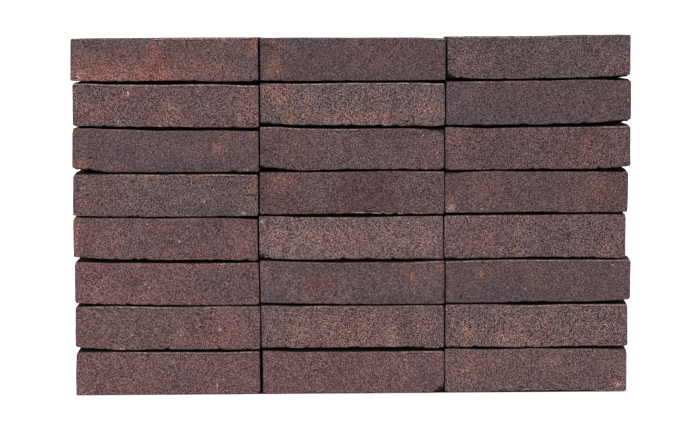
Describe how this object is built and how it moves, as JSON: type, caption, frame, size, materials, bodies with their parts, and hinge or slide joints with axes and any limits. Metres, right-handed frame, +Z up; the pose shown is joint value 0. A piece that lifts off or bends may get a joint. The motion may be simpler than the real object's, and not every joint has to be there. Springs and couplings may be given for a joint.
{
  "type": "stack of bricks",
  "caption": "Dry stack of solid facing bricks in straight columns, beds level and stretcher faces to the front, as stored or shown before laying.",
  "frame": {"origin": "on the ground under the middle of the stack", "axes": "+X along the stack to the viewer's right, +Y from the front faces to the back, +Z up"},
  "size_m": [0.637, 0.1025, 0.409],
  "materials": {
    "plum_brick": "matte",
    "slate_brick": "matte",
    "russet_brick": "matte"
  },
  "bodies": {
    "root": {"brick_course_1_left": "plum_brick", "brick_course_1_middle": "plum_brick", "brick_course_1_right": "plum_brick", "brick_course_2_left": "plum_brick", "brick_course_2_middle": "plum_brick", "brick_course_2_right": "plum_brick", "brick_course_3_left": "plum_brick", "brick_course_3_middle": "slate_brick", "brick_course_3_right": "slate_brick", "brick_course_4_left": "plum_brick", "brick_course_4_middle": "plum_brick", "brick_course_4_right": "plum_brick", "brick_course_5_left": "slate_brick", "brick_course_5_middle": "plum_brick", "brick_course_5_right": "plum_brick", "brick_course_6_left": "slate_brick", "brick_course_6_middle": "plum_brick", "brick_course_6_right": "plum_brick", "brick_course_7_left": "plum_brick", "brick_course_7_middle": "russet_brick", "brick_course_7_right": "slate_brick", "brick_course_8_left": "russet_brick", "brick_course_8_middle": "slate_brick", "brick_course_8_right": "plum_brick"}
  },
  "joints": []
}
